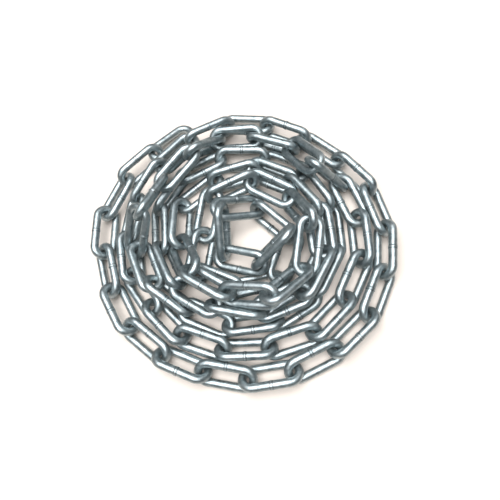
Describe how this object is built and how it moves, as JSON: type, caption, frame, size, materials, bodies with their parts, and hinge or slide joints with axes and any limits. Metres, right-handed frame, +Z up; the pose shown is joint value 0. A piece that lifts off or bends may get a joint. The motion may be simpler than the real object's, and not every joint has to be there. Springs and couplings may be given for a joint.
{
  "type": "coil of welded steel chain",
  "caption": "Bright zinc-plated short-link steel chain laid by hand in a flat spiral coil on a level floor, for lifting, lashing, guarding or towing.",
  "frame": {"origin": "middle of the coil's outline, on the floor it lies on", "axes": "+Z up, along the coil's shortest extent; -Y is the side nearest the picture's camera, +X to that camera's right before the camera's roll"},
  "size_m": [0.2226, 0.2274, 0.043],
  "materials": {
    "zinc_plated_steel": "bright electro-galvanised, cool grey with a faint blue cast"
  },
  "bodies": {
    "root": {"middle_link01": "zinc_plated_steel", "middle_link02": "zinc_plated_steel", "middle_link03": "zinc_plated_steel", "middle_link04": "zinc_plated_steel", "middle_link05": "zinc_plated_steel", "turn1_link01": "zinc_plated_steel", "turn1_link02": "zinc_plated_steel", "turn1_link03": "zinc_plated_steel", "turn1_link04": "zinc_plated_steel", "turn1_link05": "zinc_plated_steel", "turn1_link06": "zinc_plated_steel", "turn1_link07": "zinc_plated_steel", "turn1_link08": "zinc_plated_steel", "turn1_link09": "zinc_plated_steel", "turn1_link10": "zinc_plated_steel", "turn1_link11": "zinc_plated_steel", "turn1_link12": "zinc_plated_steel", "turn1_link13": "zinc_plated_steel", "turn1_link14": "zinc_plated_steel", "turn1_link15": "zinc_plated_steel", "turn1_link16": "zinc_plated_steel", "turn1_link17": "zinc_plated_steel", "turn1_link18": "zinc_plated_steel", "turn1_link19": "zinc_plated_steel", "turn1_link20": "zinc_plated_steel", "turn2_link01": "zinc_plated_steel", "turn2_link02": "zinc_plated_steel", "turn2_link03": "zinc_plated_steel", "turn2_link04": "zinc_plated_steel", "turn2_link05": "zinc_plated_steel", "turn2_link06": "zinc_plated_steel", "turn2_link07": "zinc_plated_steel", "turn2_link08": "zinc_plated_steel", "turn2_link09": "zinc_plated_steel", "turn2_link10": "zinc_plated_steel", "turn2_link11": "zinc_plated_steel", "turn2_link12": "zinc_plated_steel", "turn2_link13": "zinc_plated_steel", "turn2_link14": "zinc_plated_steel", "turn2_link15": "zinc_plated_steel", "turn2_link16": "zinc_plated_steel", "turn2_link17": "zinc_plated_steel", "turn2_link18": "zinc_plated_steel", "turn3_links01_03": "zinc_plated_steel", "turn3_links04_05": "zinc_plated_steel", "turn3_links06_07": "zinc_plated_steel", "turn3_links08_09": "zinc_plated_steel", "turn3_links10_11": "zinc_plated_steel", "turn3_links12_14": "zinc_plated_steel", "turn4_links01_02": "zinc_plated_steel", "turn4_links03_04": "zinc_plated_steel", "turn4_links05_06": "zinc_plated_steel", "turn4_links07_08": "zinc_plated_steel", "turn4_links09_11": "zinc_plated_steel", "turn5_links01_02": "zinc_plated_steel", "turn5_links03_04": "zinc_plated_steel", "turn5_links05_07": "zinc_plated_steel", "turn5_links08_10": "zinc_plated_steel", "turn6_links01_03": "zinc_plated_steel", "turn6_links04_05": "zinc_plated_steel"}
  },
  "joints": []
}
